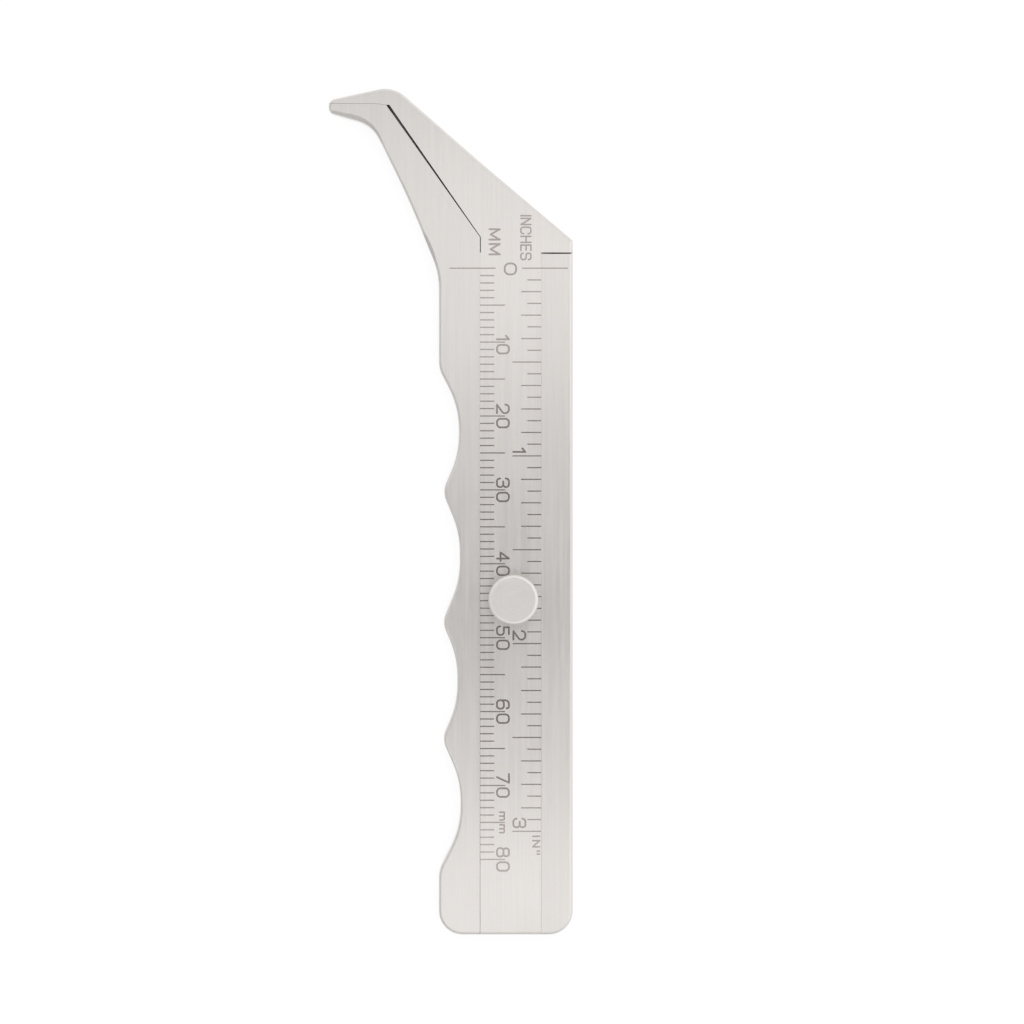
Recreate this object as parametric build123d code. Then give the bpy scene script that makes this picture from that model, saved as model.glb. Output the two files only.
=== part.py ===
from build123d import *
import math
import os

# A flat sliding caliper, lying on its back with its jaws shut. The origin is on the back face, at
# the middle of the slide and level with the zero line. X runs across to the right, Y along the
# length towards the jaws, and Z up through the thickness. Lengths are in millimetres.

# Outline of the whole caliper. Distances across are from the slide's middle, and distances along
# are from the zero line
body_thickness = 3.0
body_left = 9.70
body_right = 8.40
body_bottom = 90.19
bottom_corner_radius = 3.2
front_edge_radius = 0.38
back_edge_radius = 0.30
knee_height = -0.60
knee_radius = 11.4

# Finger scallops down the left edge. A crest is its distance below the zero line and how far it
# stands back from the straight edge, and a trough is how far it stands back. The flat at the
# bottom of a trough is a share of the radius on each side of it
scallops_top = 13.65
scallops_bottom = 81.50
scallops_end_radius = 4.0
crests = [(30.20, 0.46), (47.93, 0.41), (63.68, 0.40)]
trough_depths = [2.70, 2.81, 2.48, 2.93]
trough_radius = 12.5
trough_flat_share = 0.504
crest_radius = 3.0

# Jaws. They shut on a plane square to the length, with a hair of light between them. A corner is
# its distance across and its distance below or above that plane
jaw_plane = 22.28
jaw_gap = 0.03
jaw_reach = 24.62
lower_tip_drop = 1.16
lower_tip_radius = 0.80
jaw_root_reach = 18.74
jaw_root_drop = 2.82
jaw_root_radius = 4.5
upper_tip_rise = 0.46
upper_tip_radius = 1.00
head_peak_reach = 15.87
head_peak_rise = 2.37
head_peak_radius = 4.0
head_corner_height = 3.76
head_corner_radius = 0.30

# The arm's edge and the head's sloping edge are a little hollow. Each bends in by this depth
# halfway along, and the bend is rounded
arm_hollow_depth = 0.36
arm_hollow_radius = 100.0
head_hollow_depth = 0.14
head_hollow_radius = 200.0

# Bevel ground along the underside of the lower jaw, which runs out along the arm. A second one,
# ground with a round stone, has its middle a little way up the arm's edge from the knee
bevel_depth = 1.20
bevel_angle = 51.5
bevel_tip_width = 0.36
bevel_root_width = 0.84
bevel_root_radius = 5.1
knee_bevel_rise = 3.60
knee_bevel_width = 0.47
knee_bevel_radius = 14.0

# Parting line between the frame's arm and the slide's head. The jaws' faces dip a little where
# they run into its notch
seam_bend_reach = 18.30
seam_drop = 0.20
notch_reach = 16.84
parting_corner_height = 4.22
parting_gap_top = 0.43
parting_gap_bottom = 0.11
rail_top = 1.94
shoulder_gap = 0.19

# Dovetail channel in the frame, and the bar of the slide that runs in it. The bar narrows a hair
# from its top to its lower end, more on the left
channel_width = 8.30
channel_floor = 1.20
dovetail_angle = 30.0
side_gap_top = 0.010
side_gap_left = 0.050
side_gap_right = 0.020
floor_gap = 0.05
travel = 80.0

# Graduations, engraved in the face of the slide from its two long edges
engraving_depth = 0.05
line_width = 0.16
millimetre = 1.0
millimetres_per_long_line = 5
millimetres_per_figure = 10
mm_line_short = 1.92
mm_line_long = 3.38
inch = 25.4
inch_divisions = 16
inch_line_short = 1.88
inch_line_middle = 2.72
inch_line_long = 3.88

# Zero line, engraved across frame and slide, with a space left for the nought
zero_line_left = 8.27
zero_line_right = 7.75
zero_line_space_left = 2.04
zero_line_space_right = 1.55

# Figures and words, which read down the slide with their feet to the left. Heights, widths and
# gaps are those of the middle of the stroke, and a foot is an x
figure_stroke = 0.25
figure_height = 1.62
figure_width = 1.16
mm_figure_foot = -1.85
mm_figure_gap = 0.38
inch_figure_foot = 0.37
inch_figure_gap = 0.54
zero_foot = -0.80
zero_start = 0.64
zero_height = 1.55
zero_width = 1.48
mm_title_stroke = 0.25
mm_title_foot = -2.87
mm_title_start = 5.27
mm_title_height = 1.40
mm_title_width = 1.40
mm_title_gap = 0.60
inch_title_stroke = 0.20
inch_title_foot = 1.39
inch_title_start = 7.10
inch_title_height = 1.35
inch_title_width = 0.86
inch_title_gap = 0.37
unit_stroke = 0.20
mm_unit_line = 75
mm_unit_foot = -1.48
mm_unit_height = 0.62
mm_unit_width = 1.06
mm_unit_gap = 0.33
inch_unit_foot = 3.00
inch_unit_start = -76.88
inch_unit_height = 0.92
inch_unit_width = 0.88
inch_unit_gap = 0.58

# Thumb knob, turned
knob_across = 0.37
knob_below_zero = 44.83
knob_diameter = 6.78
knob_height = 2.50
knob_rim_radius = 0.42
knob_neck_diameter = 5.40
knob_neck_height = 0.70
knob_under_radius = 0.25
knob_bore_depth = 1.80

# Countersunk screw that holds the knob, put in from the slide's back
knob_screw_diameter = 1.60
knob_screw_head = 2.80
knob_screw_recess = 0.06
knob_screw_end_gap = 0.20
hole_clearance = 0.05
thread_clearance = 0.02
driver_slot_width = 0.35
driver_slot_depth = 0.25

# Stop screw in the frame's floor, whose point runs in a blind slot in the slide's back
stop_across = -3.20
stop_below_zero = 5.0
stop_screw_diameter = 1.60
stop_screw_recess = 0.05
stop_point_diameter = 1.0
stop_point_length = 0.55
stop_slot_width = 1.30
stop_slot_depth = 0.75
stop_end_gap = 0.05

# Leaf spring that gives the slide its drag, in a pocket in the channel's floor
spring_across = 3.20
spring_below_zero = 2.20
spring_length = 21.0
spring_width = 2.20
spring_thickness = 0.25
spring_seat_length = 6.80
spring_crest_length = 2.40
spring_tip_drop = 0.20
spring_bend_radius = 25.0
spring_slide_gap = 0.03
pocket_depth = 0.60
pocket_margin = 0.20
pocket_corner_radius = 0.50

# Two rivets through the spring's seat and the floor
rivet_diameter = 0.90
rivet_head_diameter = 1.60
rivet_head_height = 0.20
rivet_tail_diameter = 1.40
rivet_tail_recess = 0.03
rivet_spacing = 3.20
rivet_clearance = 0.02

# Places that follow from the sizes above
trough_flat = trough_flat_share * trough_radius
channel_edge = channel_width / 2
bar_edge = channel_edge - side_gap_top
bar_back = channel_floor + floor_gap
flank_slope = math.tan(math.radians(dovetail_angle))
shoulder = rail_top + shoulder_gap
seam_end = jaw_plane - seam_drop
knee = (-body_left, knee_height)
jaw_root = (-jaw_root_reach, jaw_plane - jaw_root_drop)
head_peak = (-head_peak_reach, jaw_plane + head_peak_rise)
head_corner = (body_right, head_corner_height)
engraving_floor = body_thickness - engraving_depth
pocket_floor = channel_floor - pocket_depth
spring_tip = -spring_below_zero
spring_heel = spring_tip - spring_length
spring_seat_top = pocket_floor + spring_thickness
rivet_middle = spring_heel + spring_seat_length / 2
rivet_upper = rivet_middle + rivet_spacing / 2
rivet_lower = rivet_middle - rivet_spacing / 2
beyond = 2 * (body_bottom + jaw_plane + jaw_reach)

# Letters and figures as strokes in a box one wide and one high. Each has its width as a share of
# the full width, then its strokes: the points, and the rounding of the corners between them
GLYPH_SHARES = {
    "0": (1.0, [([(0.5, 1), (0, 1), (0, 0), (0.5, 0)], 0.42),
                ([(0.5, 0), (1, 0), (1, 1), (0.5, 1)], 0.42)]),
    "1": (0.42, [([(0, 0.74), (1, 1), (1, 0)], 0)]),
    "2": (1.0, [([(0, 0.7), (0, 1), (1, 1), (1, 0.52), (0, 0), (1, 0)], [0.4, 0.45, 0.4, 0])]),
    "3": (1.0, [([(0, 0.74), (0, 1), (1, 1), (1, 0.53), (0.35, 0.53)], 0.32),
                ([(0.35, 0.53), (1, 0.53), (1, 0), (0, 0), (0, 0.27)], 0.34)]),
    "4": (1.0, [([(0.72, 0), (0.72, 1)], 0),
                ([(0.72, 1), (0, 0.3), (1, 0.3)], 0)]),
    "5": (1.0, [([(0.92, 1), (0.1, 1), (0.1, 0.58), (1, 0.58), (1, 0), (0, 0), (0, 0.27)],
                 [0, 0, 0.35, 0.35, 0.35])]),
    "6": (1.0, [([(0.95, 0.8), (0.95, 1), (0, 1), (0, 0.29)], [0.25, 0.45]),
                ([(0, 0.29), (0, 0), (1, 0), (1, 0.29)], 0.36),
                ([(0, 0.29), (0, 0.58), (1, 0.58), (1, 0.29)], 0.36)]),
    "7": (1.0, [([(0, 1), (1, 1), (0.35, 0)], 0)]),
    "8": (1.0, [([(0.5, 0.54), (0.04, 0.54), (0.04, 1), (0.5, 1)], 0.3),
                ([(0.5, 0.54), (0.96, 0.54), (0.96, 1), (0.5, 1)], 0.3),
                ([(0.5, 0.54), (0, 0.54), (0, 0), (0.5, 0)], 0.36),
                ([(0.5, 0.54), (1, 0.54), (1, 0), (0.5, 0)], 0.36)]),
    "C": (1.0, [([(1, 0.72), (1, 1), (0, 1), (0, 0), (1, 0), (1, 0.28)], 0.33)]),
    "E": (0.85, [([(1, 1), (0, 1), (0, 0), (1, 0)], 0),
                 ([(0, 0.52), (0.9, 0.52)], 0)]),
    "H": (0.95, [([(0, 0), (0, 1)], 0),
                 ([(1, 0), (1, 1)], 0),
                 ([(0, 0.52), (1, 0.52)], 0)]),
    "I": (0.0, [([(0, 0), (0, 1)], 0)]),
    "M": (1.0, [([(0, 0), (0, 1), (0.5, 0.12), (1, 1), (1, 0)], 0)]),
    "N": (0.95, [([(0, 0), (0, 1), (1, 0), (1, 1)], 0)]),
    "S": (1.0, [([(1, 0.76), (1, 1), (0, 1), (0, 0.52), (1, 0.52), (1, 0), (0, 0), (0, 0.24)],
                 0.33)]),
    "m": (1.0, [([(0, 0), (0, 1)], 0),
                ([(0, 0.6), (0, 1), (0.5, 1), (0.5, 0)], 0.16),
                ([(0.5, 0.6), (0.5, 1), (1, 1), (1, 0)], 0.16)]),
    '"': (0.45, [([(0, 0.65), (0, 1)], 0),
                 ([(1, 0.65), (1, 1)], 0)]),
}


def straight_face(*points):
    """Flat face with straight sides."""
    return make_face(Polyline(*points, close=True))


def rounded_face(*corners):
    """Flat face with a rounded corner at each (x, y, radius)."""
    points = [(x, y) for x, y, _ in corners]
    radii = [radius for _, _, radius in corners]
    return make_face(FilletPolyline(*points, radius=radii, close=True))


def turned(x, y, *profile):
    """Solid turned about the line along Z through (x, y), from (radius, z, rounding) points."""
    return Pos(x, y, 0) * revolve(Plane.XZ * rounded_face(*profile), Axis.Z)


def round_post(x, y, radius, low, high):
    """Round post between two heights."""
    return Pos(x, y, low) * extrude(Circle(radius), high - low)


def driver_slot(x, y, low):
    """What a screwdriver slot takes from the underside of a screw."""
    slot = Rectangle(beyond, driver_slot_width)
    return Pos(x, y, low) * extrude(slot, driver_slot_depth)


def scallop_corners():
    """Corners of the finger scallops, from the lowest up."""
    ridges = [(scallops_top, 0.0), *crests, (scallops_bottom, 0.0)]
    corners = []
    for k in range(len(trough_depths), 0, -1):
        ridge_below_zero, ridge_depth = ridges[k]
        middle = -(ridge_below_zero + ridges[k - 1][0]) / 2
        trough = trough_depths[k - 1] - body_left
        radius = scallops_end_radius if k == len(trough_depths) else crest_radius
        corners.append((ridge_depth - body_left, -ridge_below_zero, radius))
        corners.append((trough, middle - trough_flat / 2, trough_radius))
        corners.append((trough, middle + trough_flat / 2, trough_radius))
    corners.append((-body_left, -scallops_top, scallops_end_radius))
    return corners


def hollow_point(start, end, depth):
    """Point halfway from start to end, set in by depth to the right of that way."""
    (x0, y0), (x1, y1) = start, end
    share = depth / math.dist(start, end)
    return (x0 + x1) / 2 + (y1 - y0) * share, (y0 + y1) / 2 - (x1 - x0) * share


def closed_outline():
    """Face of frame and slide together."""
    return rounded_face(
        (*head_corner, head_corner_radius),
        (body_right, -body_bottom, bottom_corner_radius),
        (-body_left, -body_bottom, bottom_corner_radius),
        *scallop_corners(),
        (*knee, knee_radius),
        (*hollow_point(knee, jaw_root, arm_hollow_depth), arm_hollow_radius),
        (*jaw_root, jaw_root_radius),
        (-jaw_reach, jaw_plane - lower_tip_drop, lower_tip_radius),
        (-jaw_reach, jaw_plane + upper_tip_rise, upper_tip_radius),
        (*head_peak, head_peak_radius),
        (*hollow_point(head_peak, head_corner, head_hollow_depth), head_hollow_radius),
    )


def jaw_bevel():
    """What the bevel takes away; it leans out from the face, and is deepest at the jaw's root."""
    tip_height = jaw_plane - lower_tip_drop + bevel_tip_width
    root_height = jaw_plane - jaw_root_drop + bevel_root_width
    end, end_height = hollow_point(knee, jaw_root, arm_hollow_depth)
    outside = rounded_face(
        (-beyond, tip_height, 0),
        (-jaw_reach, tip_height, 0),
        (-jaw_root_reach, root_height, bevel_root_radius),
        (end, end_height, 0),
        (-beyond, end_height, 0),
    )
    return Pos(0, 0, body_thickness) * extrude(outside, -bevel_depth, taper=bevel_angle)


def knee_bevel():
    """What the round stone takes away; its middle stands outside the arm's edge."""
    (x0, y0), (x1, y1) = knee, hollow_point(knee, jaw_root, arm_hollow_depth)
    length = math.dist((x0, y0), (x1, y1))
    across, along = (x1 - x0) / length, (y1 - y0) / length
    out = knee_bevel_radius - knee_bevel_width
    middle = Pos(
        x0 + knee_bevel_rise * across - out * along,
        y0 + knee_bevel_rise * along + out * across,
        body_thickness,
    )
    return middle * extrude(Circle(knee_bevel_radius), -bevel_depth, taper=bevel_angle)


def closed_plate():
    """Frame and slide as one plate, its outer edges rounded, with the two bevels."""
    plate = extrude(closed_outline(), body_thickness)
    plate = fillet(plate.edges().group_by(Axis.Z)[-1], front_edge_radius)
    plate = fillet(plate.edges().group_by(Axis.Z)[0], back_edge_radius)
    return plate - jaw_bevel() - knee_bevel()


def frame_side():
    """Everything on the frame's side of the parting line."""
    side = straight_face(
        (-beyond, jaw_plane),
        (-seam_bend_reach, jaw_plane),
        (-notch_reach, seam_end),
        (-channel_edge, parting_corner_height),
        (-channel_edge, rail_top),
        (beyond, rail_top),
        (beyond, -beyond),
        (-beyond, -beyond),
    )
    return extrude(side, body_thickness)


def head_side():
    """Everything on the head's side of the parting line."""
    side = straight_face(
        (-beyond, jaw_plane + jaw_gap),
        (-seam_bend_reach, jaw_plane + jaw_gap),
        (-notch_reach, seam_end + jaw_gap),
        (-notch_reach + parting_gap_top, seam_end + jaw_gap),
        (-channel_edge + parting_gap_bottom, parting_corner_height),
        (-channel_edge + parting_gap_bottom, shoulder),
        (beyond, shoulder),
        (beyond, beyond),
        (-beyond, beyond),
    )
    return extrude(side, body_thickness)


def dovetail_section(left, right, low, y):
    """Section of a dovetail at y, from its two edges at the caliper's face."""
    flare = (body_thickness - low) * flank_slope
    section = straight_face(
        (left - flare, low),
        (right + flare, low),
        (right, body_thickness),
        (left, body_thickness),
    )
    return Pos(0, y, 0) * (Plane.XZ * section)


def channel():
    """What the dovetailed channel takes out of the frame."""
    section = dovetail_section(-channel_edge, channel_edge, channel_floor, jaw_plane)
    return extrude(section, beyond)


def bar():
    """Dovetailed bar of the slide, which narrows towards its lower end."""
    left = side_gap_left - channel_edge
    right = channel_edge - side_gap_right
    top = dovetail_section(-bar_edge, bar_edge, bar_back, shoulder)
    end = dovetail_section(left, right, bar_back, -body_bottom)
    return loft([top, end], ruled=True)


def line_groove(left, right, y):
    """Groove of one line across the face."""
    width = right - left
    groove = Rectangle(width, line_width)
    return Pos(left + width / 2, y, engraving_floor) * extrude(groove, body_thickness)


def word_grooves(word, foot, start, height, width, gap, stroke):
    """Round-ended grooves of a word or number that reads down from y = start."""
    grooves = []
    for letter in word:
        share, strokes = GLYPH_SHARES[letter]
        letter_width = share * width
        for points, rounding in strokes:
            places = [(foot + v * height, start - u * letter_width) for u, v in points]
            if len(places) == 2:
                line = Line(*places)
            else:
                inner = len(places[1:-1])
                shares = rounding if isinstance(rounding, list) else [rounding] * inner
                line = FilletPolyline(*places, radius=[part * letter_width for part in shares])
            groove = Face(Wire(line.edges()).offset_2d(stroke / 2))
            grooves.append(Pos(0, 0, engraving_floor) * extrude(groove, body_thickness))
        start -= letter_width + gap
    return grooves


def figure_pair(pair, y, foot, height, width, gap, stroke):
    """Grooves of two letters or figures with the line at y between them."""
    first, second = pair
    first_start = y + gap + GLYPH_SHARES[first][0] * width
    return [
        *word_grooves(first, foot, first_start, height, width, 0, stroke),
        *word_grooves(second, foot, y - gap, height, width, 0, stroke),
    ]


def millimetre_scale():
    """Lines and figures down the slide's left edge."""
    grooves = []
    for k in range(1, round(travel / millimetre) + 1):
        y = -k * millimetre
        length = mm_line_short if k % millimetres_per_long_line else mm_line_long
        grooves.append(line_groove(-channel_edge, length - bar_edge, y))
        if k % millimetres_per_figure == 0:
            grooves += figure_pair(str(k), y, mm_figure_foot, figure_height, figure_width,
                                   mm_figure_gap, figure_stroke)
    return grooves


def inch_scale():
    """Lines and figures down the slide's right edge."""
    grooves = []
    for k in range(1, int(travel / inch) * inch_divisions + 1):
        y = -k * inch / inch_divisions
        if k % (inch_divisions / 2) == 0:
            length = inch_line_long
        else:
            length = inch_line_short if k % 2 else inch_line_middle
        grooves.append(line_groove(bar_edge - length, channel_edge, y))
        if k % inch_divisions == 0:
            figure = str(k // inch_divisions)
            start = y + inch_figure_gap + GLYPH_SHARES[figure][0] * figure_width
            grooves += word_grooves(figure, inch_figure_foot, start, figure_height,
                                    figure_width, 0, figure_stroke)
    return grooves


def words():
    """The nought between the scales, and the names of the units."""
    return [
        *word_grooves("0", zero_foot, zero_start, zero_height, zero_width, 0, figure_stroke),
        *word_grooves("MM", mm_title_foot, mm_title_start, mm_title_height, mm_title_width,
                      mm_title_gap, mm_title_stroke),
        *word_grooves("INCHES", inch_title_foot, inch_title_start, inch_title_height,
                      inch_title_width, inch_title_gap, inch_title_stroke),
        *figure_pair("mm", -mm_unit_line * millimetre, mm_unit_foot, mm_unit_height,
                     mm_unit_width, mm_unit_gap, unit_stroke),
        *word_grooves('IN"', inch_unit_foot, inch_unit_start, inch_unit_height,
                      inch_unit_width, inch_unit_gap, unit_stroke),
    ]


def zero_line():
    """Zero line to the left and right of the nought, across both frame and slide."""
    return [
        line_groove(-zero_line_left, -zero_line_space_left, 0),
        line_groove(zero_line_space_right, zero_line_right, 0),
    ]


def spring_pocket():
    """Pocket in the channel's floor, with room for the spring to flatten."""
    pocket = RectangleRounded(
        spring_width + 2 * pocket_margin,
        spring_length + 2 * pocket_margin,
        pocket_corner_radius,
    )
    middle = (spring_tip + spring_heel) / 2
    return Pos(spring_across, middle, pocket_floor) * extrude(pocket, pocket_depth)


def rivet_hole(y):
    """Hole through the floor, countersunk from the back for the rivet's tail."""
    shank = rivet_diameter / 2 + rivet_clearance
    tail = rivet_tail_diameter / 2 + rivet_clearance
    return turned(
        spring_across, y,
        (0, -body_thickness, 0),
        (tail, -body_thickness, 0),
        (tail, rivet_tail_recess, 0),
        (shank, rivet_tail_recess + tail - shank, 0),
        (shank, body_thickness, 0),
        (0, body_thickness, 0),
    )


def stop_slot():
    """Blind slot in the slide's back that lets it travel from shut to fully open."""
    end_play = (stop_slot_width - stop_point_diameter) / 2 - stop_end_gap
    top = stop_end_gap - stop_below_zero
    bottom = end_play - stop_below_zero - travel
    slot = SlotCenterToCenter(top - bottom, stop_slot_width, rotation=90)
    return Pos(stop_across, (top + bottom) / 2, 0) * extrude(slot, bar_back + stop_slot_depth)


def knob_screw_hole():
    """Hole through the slide, countersunk from its back."""
    shank = knob_screw_diameter / 2 + hole_clearance
    head = knob_screw_head / 2 + hole_clearance
    seat = bar_back + knob_screw_recess
    return turned(
        knob_across, -knob_below_zero,
        (0, 0, 0),
        (head, 0, 0),
        (head, seat, 0),
        (shank, seat + head - shank, 0),
        (shank, 2 * body_thickness, 0),
        (0, 2 * body_thickness, 0),
    )


def frame(plate):
    """Fixed jaw, arm, finger grip, channel and right-hand rail, milled from one plate."""
    solid = plate & frame_side()
    solid -= channel()
    solid -= spring_pocket()
    solid -= [rivet_hole(rivet_upper), rivet_hole(rivet_lower)]
    thread = stop_screw_diameter / 2 + thread_clearance
    solid -= round_post(stop_across, -stop_below_zero, thread, 0, body_thickness)
    return solid - zero_line()


def slide(plate):
    """Moving jaw and head, with the dovetailed bar that carries the scales."""
    solid = plate & (head_side() + bar())
    solid -= [stop_slot(), knob_screw_hole()]
    return solid - [*zero_line(), *millimetre_scale(), *inch_scale(), *words()]


def thumb_knob():
    """Flat-topped button with a rounded rim and a narrower neck, bored blind from below."""
    bore = knob_screw_diameter / 2 + thread_clearance
    neck = knob_neck_diameter / 2
    rim = knob_diameter / 2
    seat = body_thickness
    top = seat + knob_height
    return turned(
        knob_across, -knob_below_zero,
        (bore, seat, 0),
        (neck, seat, 0),
        (neck, seat + knob_neck_height, 0),
        (rim, seat + knob_neck_height, knob_under_radius),
        (rim, top, knob_rim_radius),
        (0, top, 0),
        (0, seat + knob_bore_depth, 0),
        (bore, seat + knob_bore_depth, 0),
    )


def knob_screw():
    """Countersunk screw from the slide's back up into the knob."""
    shank = knob_screw_diameter / 2
    head = knob_screw_head / 2
    low = bar_back + knob_screw_recess
    end = body_thickness + knob_bore_depth - knob_screw_end_gap
    screw = turned(
        knob_across, -knob_below_zero,
        (0, low, 0),
        (head, low, 0),
        (shank, low + head - shank, 0),
        (shank, end, 0),
        (0, end, 0),
    )
    return screw - driver_slot(knob_across, -knob_below_zero, low)


def stop_screw():
    """Headless screw through the floor, flush with the back, with a point above the floor."""
    body = stop_screw_diameter / 2
    point = stop_point_diameter / 2
    screw = turned(
        stop_across, -stop_below_zero,
        (0, stop_screw_recess, 0),
        (body, stop_screw_recess, 0),
        (body, channel_floor, 0),
        (point, channel_floor, 0),
        (point, channel_floor + stop_point_length, 0),
        (0, channel_floor + stop_point_length, 0),
    )
    return screw - driver_slot(stop_across, -stop_below_zero, stop_screw_recess)


def friction_spring():
    """Leaf that lies flat at its seat and then rises to a crest just under the slide."""
    seat = pocket_floor + spring_thickness / 2
    crest = bar_back - spring_slide_gap - spring_thickness / 2
    middle_line = FilletPolyline(
        (spring_heel, seat),
        (spring_heel + spring_seat_length, seat),
        (spring_tip - spring_crest_length, crest),
        (spring_tip, crest - spring_tip_drop),
        radius=spring_bend_radius,
    )
    section = Plane.YZ * trace(middle_line, line_width=spring_thickness)
    leaf = Pos(spring_across - spring_width / 2, 0, 0) * extrude(section, spring_width)
    hole = rivet_diameter / 2 + rivet_clearance
    for y in (rivet_upper, rivet_lower):
        leaf -= round_post(spring_across, y, hole, 0, body_thickness)
    return leaf


def spring_rivet(y):
    """Rivet with its head on the spring and its tail flush with the frame's back."""
    shank = rivet_diameter / 2
    tail = rivet_tail_diameter / 2
    return turned(
        spring_across, y,
        (0, rivet_tail_recess, 0),
        (tail, rivet_tail_recess, 0),
        (shank, rivet_tail_recess + tail - shank, 0),
        (shank, spring_seat_top, 0),
        (rivet_head_diameter / 2, spring_seat_top, 0),
        (rivet_head_diameter / 2, spring_seat_top + rivet_head_height, 0),
        (0, spring_seat_top + rivet_head_height, 0),
    )


plate = closed_plate()
pieces = {
    "frame": frame(plate),
    "slide": slide(plate),
    "thumb_knob": thumb_knob(),
    "knob_screw": knob_screw(),
    "stop_screw": stop_screw(),
    "friction_spring": friction_spring(),
    "spring_rivet_upper": spring_rivet(rivet_upper),
    "spring_rivet_lower": spring_rivet(rivet_lower),
}

os.makedirs("parts", exist_ok=True)
for node, piece in pieces.items():
    export_step(piece, f"parts/{node}.step")
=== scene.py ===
import bmesh
import bpy
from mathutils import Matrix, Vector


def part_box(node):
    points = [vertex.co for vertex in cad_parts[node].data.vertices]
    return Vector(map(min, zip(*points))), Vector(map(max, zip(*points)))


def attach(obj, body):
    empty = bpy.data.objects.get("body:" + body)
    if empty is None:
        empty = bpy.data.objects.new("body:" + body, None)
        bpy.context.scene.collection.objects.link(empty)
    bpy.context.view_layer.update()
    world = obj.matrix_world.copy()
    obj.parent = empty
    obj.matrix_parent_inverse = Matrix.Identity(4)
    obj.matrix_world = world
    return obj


# A flat steel caliper lying on a pale floor, seen from straight above. Lengths are in metres.
MM = 0.001

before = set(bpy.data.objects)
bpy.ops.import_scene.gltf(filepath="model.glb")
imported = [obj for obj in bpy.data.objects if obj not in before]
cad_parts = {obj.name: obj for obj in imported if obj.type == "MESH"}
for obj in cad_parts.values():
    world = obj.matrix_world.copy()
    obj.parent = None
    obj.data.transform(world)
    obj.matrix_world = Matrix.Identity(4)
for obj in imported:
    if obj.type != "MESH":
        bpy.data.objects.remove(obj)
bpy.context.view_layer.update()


def middle(node):
    """Middle of a CAD node's box, seen from above."""
    low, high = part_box(node)
    return (low.x + high.x) / 2, (low.y + high.y) / 2


# Places on the caliper
FACE_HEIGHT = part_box("frame")[1].z
GROOVE_DEPTH = 0.05 * MM
GROOVE_FLOOR = FACE_HEIGHT - GROOVE_DEPTH
KNOB_CENTRE = middle("thumb_knob")
KNOB_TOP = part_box("thumb_knob")[1].z
# Where the knob's painted rim highlight starts: outside this radius and from this height up
KNOB_FLAT_RADIUS = 2.97 * MM
KNOB_RIM_LOW = KNOB_TOP - 0.75 * MM

# Oxide in the grooves, which starts a hair above their floor
FILL_LIFT = 0.002 * MM
FILL_THICKNESS = 0.018 * MM
FLOOR_TOLERANCE = 0.004 * MM

# Tones of the steels, as shares of red, green and blue
FRAME_TONE = (0.718, 0.688, 0.664)
SLIDE_TONE = (0.734, 0.705, 0.680)
KNOB_TONE = (0.727, 0.704, 0.679)
# Paler colour of the knob's rim, a painted highlight standing in for light on its rounded edge
KNOB_RIM_PAINTED_HIGHLIGHT = (0.79, 0.77, 0.75)
SCREW_TONE = (0.66, 0.65, 0.64)
SPRING_TONE = (0.58, 0.58, 0.59)
RIVET_TONE = (0.69, 0.68, 0.67)
PLATE_EDGE_TONE = (0.86, 0.85, 0.83)
TURNED_EDGE_TONE = (0.88, 0.87, 0.85)

# Tones of the oxide, which is uneven and has pale specks
OXIDE_DARK = (0.330, 0.297, 0.280)
OXIDE_LIGHT = (0.400, 0.363, 0.345)
OXIDE_SPECK = (0.50, 0.48, 0.47)

# How fast each finish changes along X, Y and Z, per metre
FINE_BRUSHING = (11000.0, 150.0, 11000.0)
COARSE_BRUSHING = (2600.0, 36.0, 2600.0)
BRUSHED_CLOUDS = (90.0, 60.0, 90.0)
SCRATCHES = (5200.0, 420.0, 5200.0)
TURNED_CLOUDS = (700.0, 700.0, 700.0)
OXIDE_BLOTCHES = (3000.0, 3000.0, 3000.0)
OXIDE_SPECKS = (16000.0, 16000.0, 16000.0)

# Heights of the finest relief
BRUSHING_HEIGHT = 0.0035 * MM
RING_HEIGHT = 0.002 * MM
SPECK_HEIGHT = 0.002 * MM

# Radius to which sharp edges look worn
PLATE_EDGE_RADIUS = 0.03 * MM
TURNED_EDGE_RADIUS = 0.06 * MM

# Pitch of the rings that turning leaves
KNOB_PITCH = 0.045 * MM
SMALL_PITCH = 0.05 * MM

# Pale floor: as it lights the caliper, as it is seen, and how strongly it glows where it is open
FLOOR_REACH = 6.0
PAPER = (0.80, 0.80, 0.80)
PAPER_SEEN = (0.24, 0.24, 0.24)
PAPER_GLOW = 0.81

# Studio walls: straight above, all round, how they brighten to the right and to the top, and how
# far they dim low at front and left
SKY_ABOVE = 0.47
SKY_ROUND = 1.18
SKY_RIGHT = 0.16
SKY_TOP = 0.06
SKY_FRONT_DIMMING = 0.53

# Where those walls turn from one brightness to the next, as a share of one unit of direction
ABOVE_TURN = (0.95, 0.60)
ENDS_TURN = (0.10, 0.38)
RIGHT_TURN = (0.10, 0.40)
LOW_TURN = (0.55, 0.05)
FRONT_TURN = (0.2, 0.7)

# Way to the dim front left, along X and Y
FRONT_WAY = (-0.6, -0.8)

# Two soft panels above the ends of the caliper
PANEL_HEIGHT = 0.15
PANEL_WIDTH = 0.24
PANEL_POWER = 0.028
TOP_PANEL_Y = 0.010
TOP_PANEL_LENGTH = 0.050
BOTTOM_PANEL_Y = -0.099
BOTTOM_PANEL_LENGTH = 0.036

# Camera straight above, with the photograph's 138.57 mm across the frame at the engraved face
VIEW_WIDTH = 138.57 * MM
VIEW_CENTRE = (0.19 * MM, -32.99 * MM)
VIEW_LENS = 180.0
VIEW_SENSOR = 36.0


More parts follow.
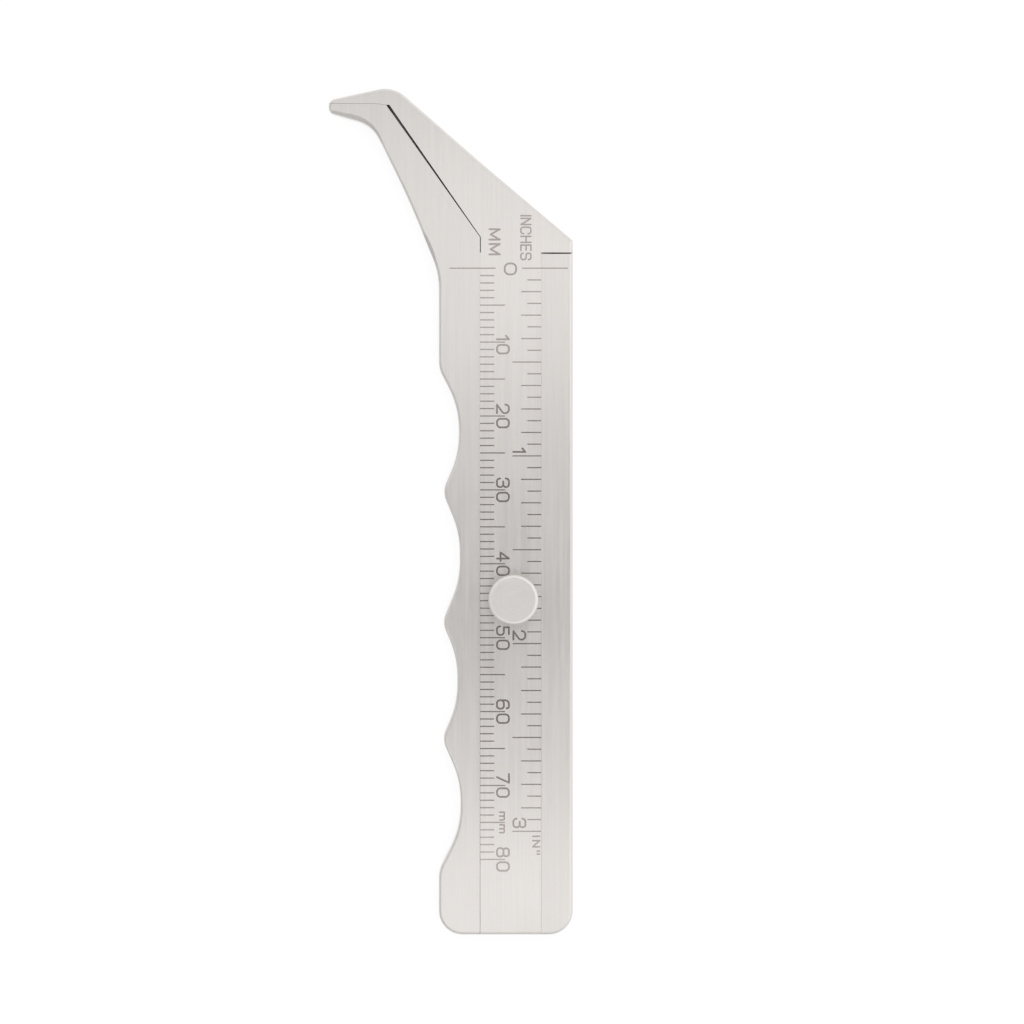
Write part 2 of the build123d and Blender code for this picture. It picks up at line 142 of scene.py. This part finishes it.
class Nodes:
    """Short calls for building one node tree."""

    def __init__(self, owner, output, shader):
        owner.use_nodes = True
        self.tree = owner.node_tree
        self.tree.nodes.clear()
        self.output = self.tree.nodes.new(output)
        self.shader = self.tree.nodes.new(shader)
        self.link(self.shader.outputs[0], self.output.inputs["Surface"])

    def link(self, source, target):
        self.tree.links.new(source, target)

    def put(self, value, target):
        """Links a socket, or sets a plain value."""
        if isinstance(value, bpy.types.NodeSocket):
            self.link(value, target)
        else:
            target.default_value = value

    def place(self):
        """Position on the piece, in metres, which stays with the piece when it moves."""
        return self.tree.nodes.new("ShaderNodeTexCoord").outputs["Object"]

    def scaled(self, vector, scale, shift=(0.0, 0.0, 0.0)):
        node = self.tree.nodes.new("ShaderNodeMapping")
        node.inputs["Scale"].default_value = scale
        node.inputs["Location"].default_value = shift
        self.link(vector, node.inputs["Vector"])
        return node.outputs["Vector"]

    def noise(self, vector, detail=2.0, roughness=0.5):
        node = self.tree.nodes.new("ShaderNodeTexNoise")
        node.inputs["Scale"].default_value = 1.0
        node.inputs["Detail"].default_value = detail
        node.inputs["Roughness"].default_value = roughness
        self.link(vector, node.inputs["Vector"])
        return node.outputs["Fac"]

    def math(self, operation, first, second=None, third=None):
        node = self.tree.nodes.new("ShaderNodeMath")
        node.operation = operation
        for value, target in zip((first, second, third), node.inputs):
            if value is not None:
                self.put(value, target)
        return node.outputs["Value"]

    def fit(self, value, low, high, new_low, new_high):
        """Maps low..high to new_low..new_high, held at both ends."""
        node = self.tree.nodes.new("ShaderNodeMapRange")
        node.clamp = True
        numbers = (value, low, high, new_low, new_high)
        for number, name in zip(numbers, ("Value", "From Min", "From Max", "To Min", "To Max")):
            self.put(number, node.inputs[name])
        return node.outputs["Result"]

    def mix(self, share, first, second):
        """Mixes two colours."""
        node = self.tree.nodes.new("ShaderNodeMix")
        node.data_type = "RGBA"
        self.put(share, node.inputs["Factor"])
        for value, name in ((first, "A"), (second, "B")):
            target = [s for s in node.inputs if s.name == name and s.type == "RGBA"][0]
            self.put(value, target)
        return [s for s in node.outputs if s.type == "RGBA"][0]

    def bump(self, height, distance, strength=1.0, normal=None):
        node = self.tree.nodes.new("ShaderNodeBump")
        node.inputs["Strength"].default_value = strength
        node.inputs["Distance"].default_value = distance
        self.link(height, node.inputs["Height"])
        if normal is not None:
            self.link(normal, node.inputs["Normal"])
        return node.outputs["Normal"]

    def worn_edge(self, radius):
        """0 on open surface and 1 on a sharp edge, and the normal of the edge rounded by radius."""
        bevel = self.tree.nodes.new("ShaderNodeBevel")
        bevel.samples = 6
        bevel.inputs["Radius"].default_value = radius
        flat = self.tree.nodes.new("ShaderNodeNewGeometry").outputs["Normal"]
        dot = self.tree.nodes.new("ShaderNodeVectorMath")
        dot.operation = "DOT_PRODUCT"
        self.link(bevel.outputs["Normal"], dot.inputs[0])
        self.link(flat, dot.inputs[1])
        return self.fit(dot.outputs["Value"], 0.80, 0.995, 1.0, 0.0), bevel.outputs["Normal"]


class Surface(Nodes):
    """The node tree of one material."""

    def __init__(self, name):
        self.material = bpy.data.materials.new(name)
        super().__init__(self.material, "ShaderNodeOutputMaterial", "ShaderNodeBsdfPrincipled")


def colour(red, green, blue):
    return (red, green, blue, 1.0)


def brushed_steel(name, tone, roughness, grain=1.0, shift=0.0):
    """Satin stainless steel, brushed along Y, with its edges a little polished by handling."""
    n = Surface(name)
    place = n.place()
    fine = n.noise(n.scaled(place, FINE_BRUSHING, (shift, 0.0, 0.0)), 3.0, 0.65)
    coarse = n.noise(n.scaled(place, COARSE_BRUSHING, (0.0, shift, 7.0)), 2.0, 0.6)
    cloud = n.noise(n.scaled(place, BRUSHED_CLOUDS, (shift, 3.0, 0.0)), 3.0, 0.55)
    scratch = n.noise(n.scaled(place, SCRATCHES, (1.0, shift, 4.0)), 1.0, 0.4)
    scratch = n.fit(scratch, 0.70, 0.76, 0.0, 1.0)
    edge, rounded = n.worn_edge(PLATE_EDGE_RADIUS)

    streaks = n.math("MULTIPLY_ADD", coarse, 0.45, n.math("MULTIPLY", fine, 0.55))
    dark = colour(*(0.945 * c for c in tone))
    light = colour(*(min(1.0, 1.055 * c) for c in tone))
    base = n.mix(n.fit(streaks, 0.30, 0.70, 0.0, 1.0), dark, light)
    base = n.mix(n.fit(cloud, 0.35, 0.70, 0.0, 0.22), base, colour(*(0.93 * c for c in tone)))
    base = n.mix(n.math("MULTIPLY", scratch, 0.12), base, colour(*(0.80 * c for c in tone)))
    base = n.mix(n.math("MULTIPLY", edge, 0.35), base, colour(*PLATE_EDGE_TONE))
    n.link(base, n.shader.inputs["Base Color"])

    rough = n.fit(streaks, 0.25, 0.75, roughness - 0.05, roughness + 0.05)
    rough = n.math("ADD", rough, n.fit(cloud, 0.35, 0.70, -0.015, 0.03))
    rough = n.math("MULTIPLY_ADD", edge, -0.10, rough)
    n.link(rough, n.shader.inputs["Roughness"])
    n.shader.inputs["Metallic"].default_value = 1.0
    n.link(n.bump(streaks, BRUSHING_HEIGHT * grain, 0.6, rounded), n.shader.inputs["Normal"])
    return n.material


def turned_steel(name, tone, roughness, centre, pitch, flat_radius=None, rim_low=0.0):
    """Steel turned about a line along Z through centre, with fine rings.

    With a flat_radius it has a painted highlight, a paler rim outside that radius from the height
    rim_low up, which stands in for the light its rounded edge catches.
    """
    n = Surface(name)
    place = n.place()
    split = n.tree.nodes.new("ShaderNodeSeparateXYZ")
    n.link(place, split.inputs["Vector"])
    across = n.math("SUBTRACT", split.outputs["X"], centre[0])
    along = n.math("SUBTRACT", split.outputs["Y"], centre[1])
    squared = n.math("MULTIPLY_ADD", along, along, n.math("MULTIPLY", across, across))
    distance = n.math("SQRT", squared)
    angle = n.math("ARCTAN2", along, across)

    ring_place = n.tree.nodes.new("ShaderNodeCombineXYZ")
    n.link(n.math("MULTIPLY", distance, 1.0 / pitch), ring_place.inputs["X"])
    n.link(n.math("MULTIPLY", split.outputs["Z"], 1.0 / pitch), ring_place.inputs["Y"])
    n.link(n.math("MULTIPLY", angle, 0.9), ring_place.inputs["Z"])
    rings = n.noise(ring_place.outputs["Vector"], 2.0, 0.6)
    cloud = n.noise(n.scaled(place, TURNED_CLOUDS), 3.0, 0.55)
    edge, rounded = n.worn_edge(TURNED_EDGE_RADIUS)

    dark = colour(*(0.94 * c for c in tone))
    light = colour(*(min(1.0, 1.05 * c) for c in tone))
    base = n.mix(n.fit(rings, 0.30, 0.70, 0.0, 1.0), dark, light)
    base = n.mix(n.fit(cloud, 0.35, 0.70, 0.0, 0.2), base, colour(*(0.93 * c for c in tone)))
    base = n.mix(n.math("MULTIPLY", edge, 0.3), base, colour(*TURNED_EDGE_TONE))
    rough = n.fit(rings, 0.25, 0.75, roughness - 0.05, roughness + 0.05)
    if flat_radius is not None:
        # Painted highlight: the rim's base colour is made paler where light would catch its rounded
        # edge
        rim = n.fit(distance, flat_radius - 0.05 * MM, flat_radius + 0.12 * MM, 0.0, 1.0)
        above = n.fit(split.outputs["Z"], rim_low, rim_low + 0.2 * MM, 0.0, 1.0)
        rim = n.math("MULTIPLY", rim, above)
        base = n.mix(rim, base, colour(*KNOB_RIM_PAINTED_HIGHLIGHT))
        rough = n.math("MULTIPLY_ADD", rim, 0.10, rough)
    n.link(base, n.shader.inputs["Base Color"])
    n.link(rough, n.shader.inputs["Roughness"])
    n.shader.inputs["Metallic"].default_value = 1.0
    n.link(n.bump(rings, RING_HEIGHT, 0.6, rounded), n.shader.inputs["Normal"])
    return n.material


def marking_fill():
    """Dark oxide left in the engraving, grey-brown, uneven, with a dull metallic sheen."""
    n = Surface("marking_oxide")
    place = n.place()
    blotch = n.noise(n.scaled(place, OXIDE_BLOTCHES), 3.0, 0.6)
    speck = n.noise(n.scaled(place, OXIDE_SPECKS), 2.0, 0.7)
    uneven = n.fit(blotch, 0.30, 0.70, 0.0, 1.0)
    base = n.mix(uneven, colour(*OXIDE_DARK), colour(*OXIDE_LIGHT))
    base = n.mix(n.fit(speck, 0.60, 0.75, 0.0, 0.35), base, colour(*OXIDE_SPECK))
    n.link(base, n.shader.inputs["Base Color"])
    n.link(n.fit(blotch, 0.3, 0.7, 0.14, 0.20), n.shader.inputs["Roughness"])
    n.shader.inputs["Metallic"].default_value = 0.92
    n.link(n.bump(speck, SPECK_HEIGHT, 0.4), n.shader.inputs["Normal"])
    return n.material


def dress(node, material):
    """Gives every material slot of a CAD node this material."""
    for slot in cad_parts[node].material_slots:
        slot.material = material


def fill_grooves(node, body, material):
    """Thin oxide on the floor of every engraved groove of a CAD node."""
    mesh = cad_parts[node].data
    made = bmesh.new()
    corners = {}
    for polygon in mesh.polygons:
        points = [mesh.vertices[i].co for i in polygon.vertices]
        on_floor = all(abs(p.z - GROOVE_FLOOR) < FLOOR_TOLERANCE for p in points)
        if not on_floor or polygon.normal.z < 0.9:
            continue
        ring = []
        for p in points:
            key = (round(p.x * 1e7), round(p.y * 1e7))
            if key not in corners:
                corners[key] = made.verts.new((p.x, p.y, GROOVE_FLOOR + FILL_LIFT))
            ring.append(corners[key])
        if len(set(ring)) > 2 and made.faces.get(ring) is None:
            made.faces.new(ring)
    made.normal_update()
    lift = bmesh.ops.extrude_face_region(made, geom=list(made.faces), use_keep_orig=True)
    raised = [v for v in lift["geom"] if isinstance(v, bmesh.types.BMVert)]
    bmesh.ops.translate(made, vec=(0.0, 0.0, FILL_THICKNESS), verts=raised)
    bmesh.ops.recalc_face_normals(made, faces=list(made.faces))
    data = bpy.data.meshes.new(f"{node}_marking_fill")
    made.to_mesh(data)
    made.free()
    piece = bpy.data.objects.new(f"{node}_marking_fill", data)
    bpy.context.scene.collection.objects.link(piece)
    data.materials.append(material)
    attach(piece, body)


dress("frame", brushed_steel("frame_satin", FRAME_TONE, roughness=0.34))
dress("slide", brushed_steel("slide_satin", SLIDE_TONE, roughness=0.33, shift=11.0))
dress("friction_spring", brushed_steel("spring_rolled", SPRING_TONE, roughness=0.26, grain=0.6,
                                       shift=23.0))
dress("thumb_knob", turned_steel("knob_turned", KNOB_TONE, roughness=0.42, centre=KNOB_CENTRE,
                                 pitch=KNOB_PITCH, flat_radius=KNOB_FLAT_RADIUS,
                                 rim_low=KNOB_RIM_LOW))
for screw in ("knob_screw", "stop_screw"):
    dress(screw, turned_steel(f"{screw}_turned", SCREW_TONE, roughness=0.30, centre=middle(screw),
                              pitch=SMALL_PITCH))
for rivet in ("spring_rivet_upper", "spring_rivet_lower"):
    dress(rivet, turned_steel(f"{rivet}_wire", RIVET_TONE, roughness=0.34, centre=middle(rivet),
                              pitch=SMALL_PITCH))

oxide = marking_fill()
fill_grooves("slide", "slide", oxide)
fill_grooves("frame", "frame", oxide)


def floor():
    """Wide pale floor under the caliper, seen as white except down narrow gaps."""
    made = bmesh.new()
    bmesh.ops.create_grid(made, x_segments=1, y_segments=1, size=FLOOR_REACH)
    data = bpy.data.meshes.new("floor")
    made.to_mesh(data)
    made.free()
    piece = bpy.data.objects.new("floor", data)
    bpy.context.scene.collection.objects.link(piece)
    n = Surface("floor_paper")
    path = n.tree.nodes.new("ShaderNodeLightPath")
    seen = n.math("ADD", path.outputs["Is Camera Ray"], path.outputs["Is Glossy Ray"])
    seen = n.math("ADD", seen, path.outputs["Is Transmission Ray"])
    n.link(n.mix(seen, colour(*PAPER), colour(*PAPER_SEEN)), n.shader.inputs["Base Color"])
    n.shader.inputs["Roughness"].default_value = 0.9
    n.shader.inputs["Specular IOR Level"].default_value = 0.0
    n.shader.inputs["Emission Color"].default_value = colour(1.0, 1.0, 1.0)
    opening = n.tree.nodes.new("ShaderNodeAmbientOcclusion")
    opening.samples = 8
    opening.inputs["Distance"].default_value = 2.0 * MM
    glow = n.fit(opening.outputs["AO"], 0.20, 0.42, 0.0, PAPER_GLOW)
    n.link(n.math("MULTIPLY", seen, glow), n.shader.inputs["Emission Strength"])
    data.materials.append(n.material)


def panel(name, y, length):
    """Soft studio panel above the floor at y, which faces down and isn't seen itself."""
    lamp = bpy.data.lights.new(name, "AREA")
    lamp.shape = "RECTANGLE"
    lamp.size = PANEL_WIDTH
    lamp.size_y = length
    lamp.energy = PANEL_POWER
    piece = bpy.data.objects.new(name, lamp)
    bpy.context.scene.collection.objects.link(piece)
    piece.location = (0.0, y, PANEL_HEIGHT)
    piece.visible_camera = False


def sky():
    """Pale studio walls, dim straight above and to the left of it, and low at front and left."""
    world = bpy.data.worlds.new("studio")
    bpy.context.scene.world = world
    n = Nodes(world, "ShaderNodeOutputWorld", "ShaderNodeBackground")
    way = n.tree.nodes.new("ShaderNodeSeparateXYZ")
    n.link(n.tree.nodes.new("ShaderNodeTexCoord").outputs["Generated"], way.inputs["Vector"])
    wall = n.fit(way.outputs["Z"], *ABOVE_TURN, SKY_ABOVE, SKY_ROUND)
    ends = n.fit(n.math("ABSOLUTE", way.outputs["Y"]), *ENDS_TURN, SKY_ABOVE, SKY_ROUND)
    right = n.fit(way.outputs["X"], *RIGHT_TURN, SKY_ABOVE, SKY_ROUND)
    wall = n.math("MAXIMUM", wall, n.math("MAXIMUM", ends, right))
    wall = n.math("MULTIPLY_ADD", way.outputs["X"], SKY_RIGHT, wall)
    wall = n.math("MULTIPLY_ADD", way.outputs["Y"], SKY_TOP, wall)
    front = n.math("MULTIPLY", way.outputs["X"], FRONT_WAY[0])
    front = n.math("MULTIPLY_ADD", way.outputs["Y"], FRONT_WAY[1], front)
    low = n.fit(way.outputs["Z"], *LOW_TURN, 0.0, SKY_FRONT_DIMMING)
    dimming = n.math("MULTIPLY", low, n.fit(front, *FRONT_TURN, 0.0, 1.0))
    wall = n.math("MULTIPLY", wall, n.math("SUBTRACT", 1.0, dimming))
    n.link(wall, n.shader.inputs["Strength"])


floor()
sky()
panel("panel_top", TOP_PANEL_Y, TOP_PANEL_LENGTH)
panel("panel_bottom", BOTTOM_PANEL_Y, BOTTOM_PANEL_LENGTH)

camera_data = bpy.data.cameras.new("camera")
camera_data.sensor_width = VIEW_SENSOR
camera_data.lens = VIEW_LENS
camera_height = FACE_HEIGHT + VIEW_WIDTH * VIEW_LENS / VIEW_SENSOR
camera_data.clip_start = 0.01
camera_data.clip_end = 20.0
camera = bpy.data.objects.new("camera", camera_data)
bpy.context.scene.collection.objects.link(camera)
camera.location = (*VIEW_CENTRE, camera_height)
camera.rotation_euler = (0.0, 0.0, 0.0)
bpy.context.scene.camera = camera

bpy.context.scene.view_settings.view_transform = "Standard"
